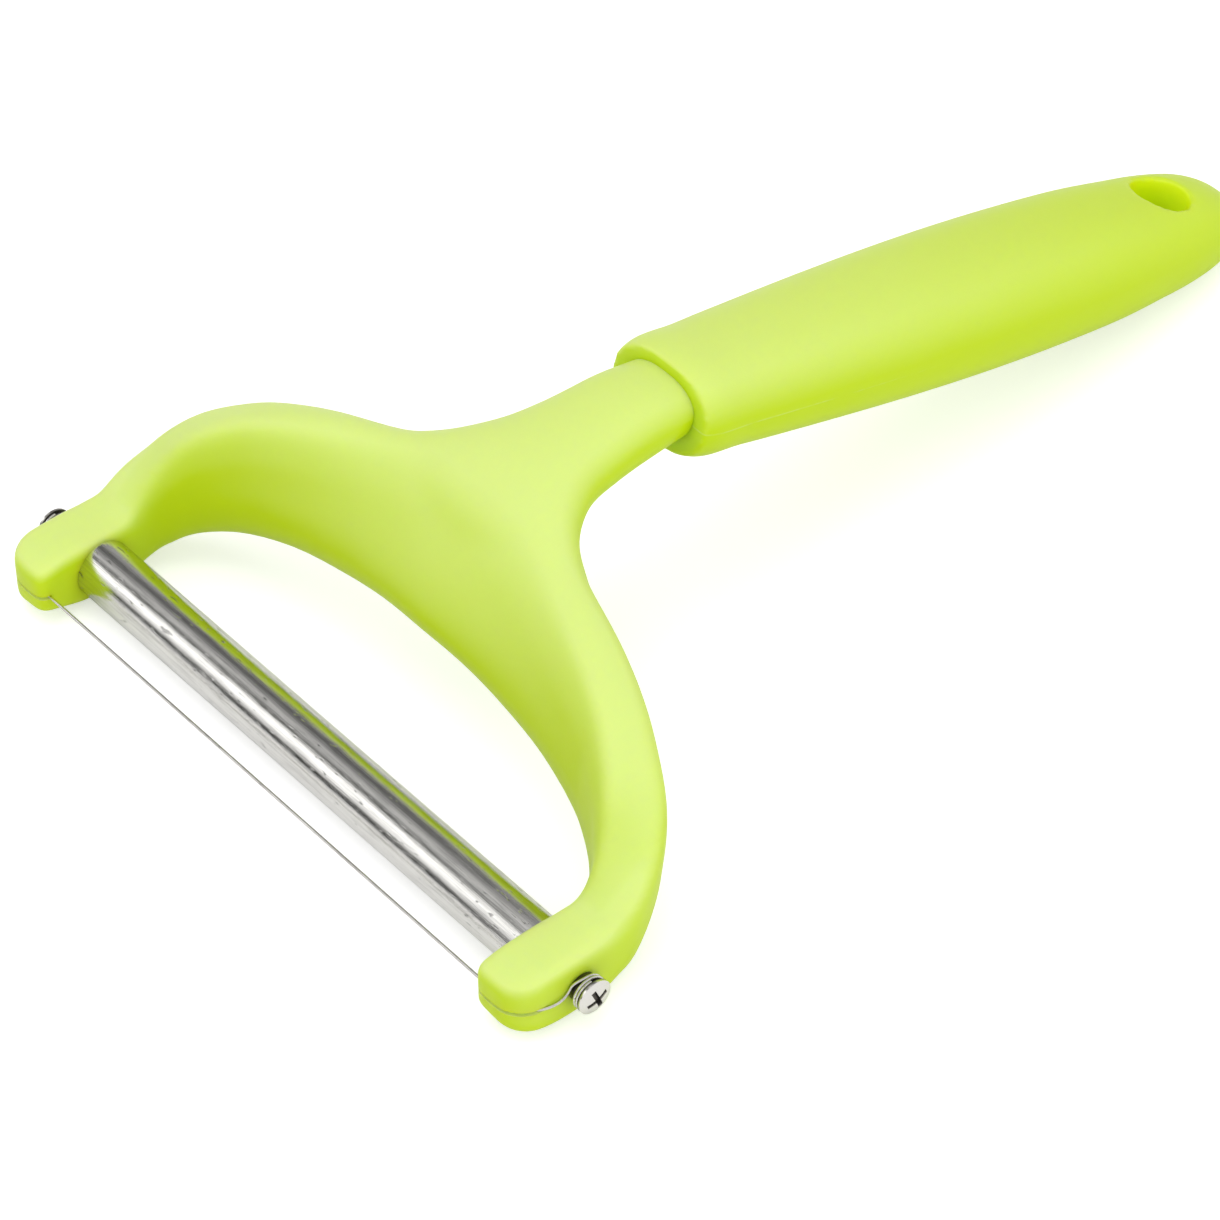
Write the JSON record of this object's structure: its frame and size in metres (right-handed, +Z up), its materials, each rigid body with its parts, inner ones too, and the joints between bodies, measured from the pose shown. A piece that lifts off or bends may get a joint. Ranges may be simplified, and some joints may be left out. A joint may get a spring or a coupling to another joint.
{
  "type": "cheese slicer",
  "caption": "Hand cheese slicer: moulded plastic Y-shaped head with a taut cutting wire and a turning steel roller, on an oval handle with a hanging hole.",
  "frame": {"origin": "bottom centre of the box round the slicer as it lies on a table, resting on its arms and on the end of its handle", "axes": "+X along the roller, +Y from the wire towards the end of the handle, +Z up"},
  "size_m": [0.135, 0.2106, 0.0439],
  "materials": {
    "head_plastic": "satin moulded lime green",
    "handle_plastic": "satin moulded lime green",
    "roller_steel": "bright drawn tube with fine lengthwise scratches",
    "plug_plastic": "plain moulded",
    "screw_steel": "bright plated",
    "wire_steel": "bright drawn wire"
  },
  "bodies": {
    "frame": {"head_frame": "head_plastic", "handle": "handle_plastic", "pivot_screw_right": "screw_steel", "pivot_screw_left": "screw_steel", "cutting_wire": "wire_steel"},
    "roller": {"roller_tube": "roller_steel", "roller_plug_right": "plug_plastic", "roller_plug_left": "plug_plastic"}
  },
  "joints": [
    {"name": "roller_spin", "type": "hinge", "parent": "frame", "child": "roller", "pos_m": [0, -0.09309, 0.00641], "axis": [1, 0, 0], "continuous": true}
  ]
}
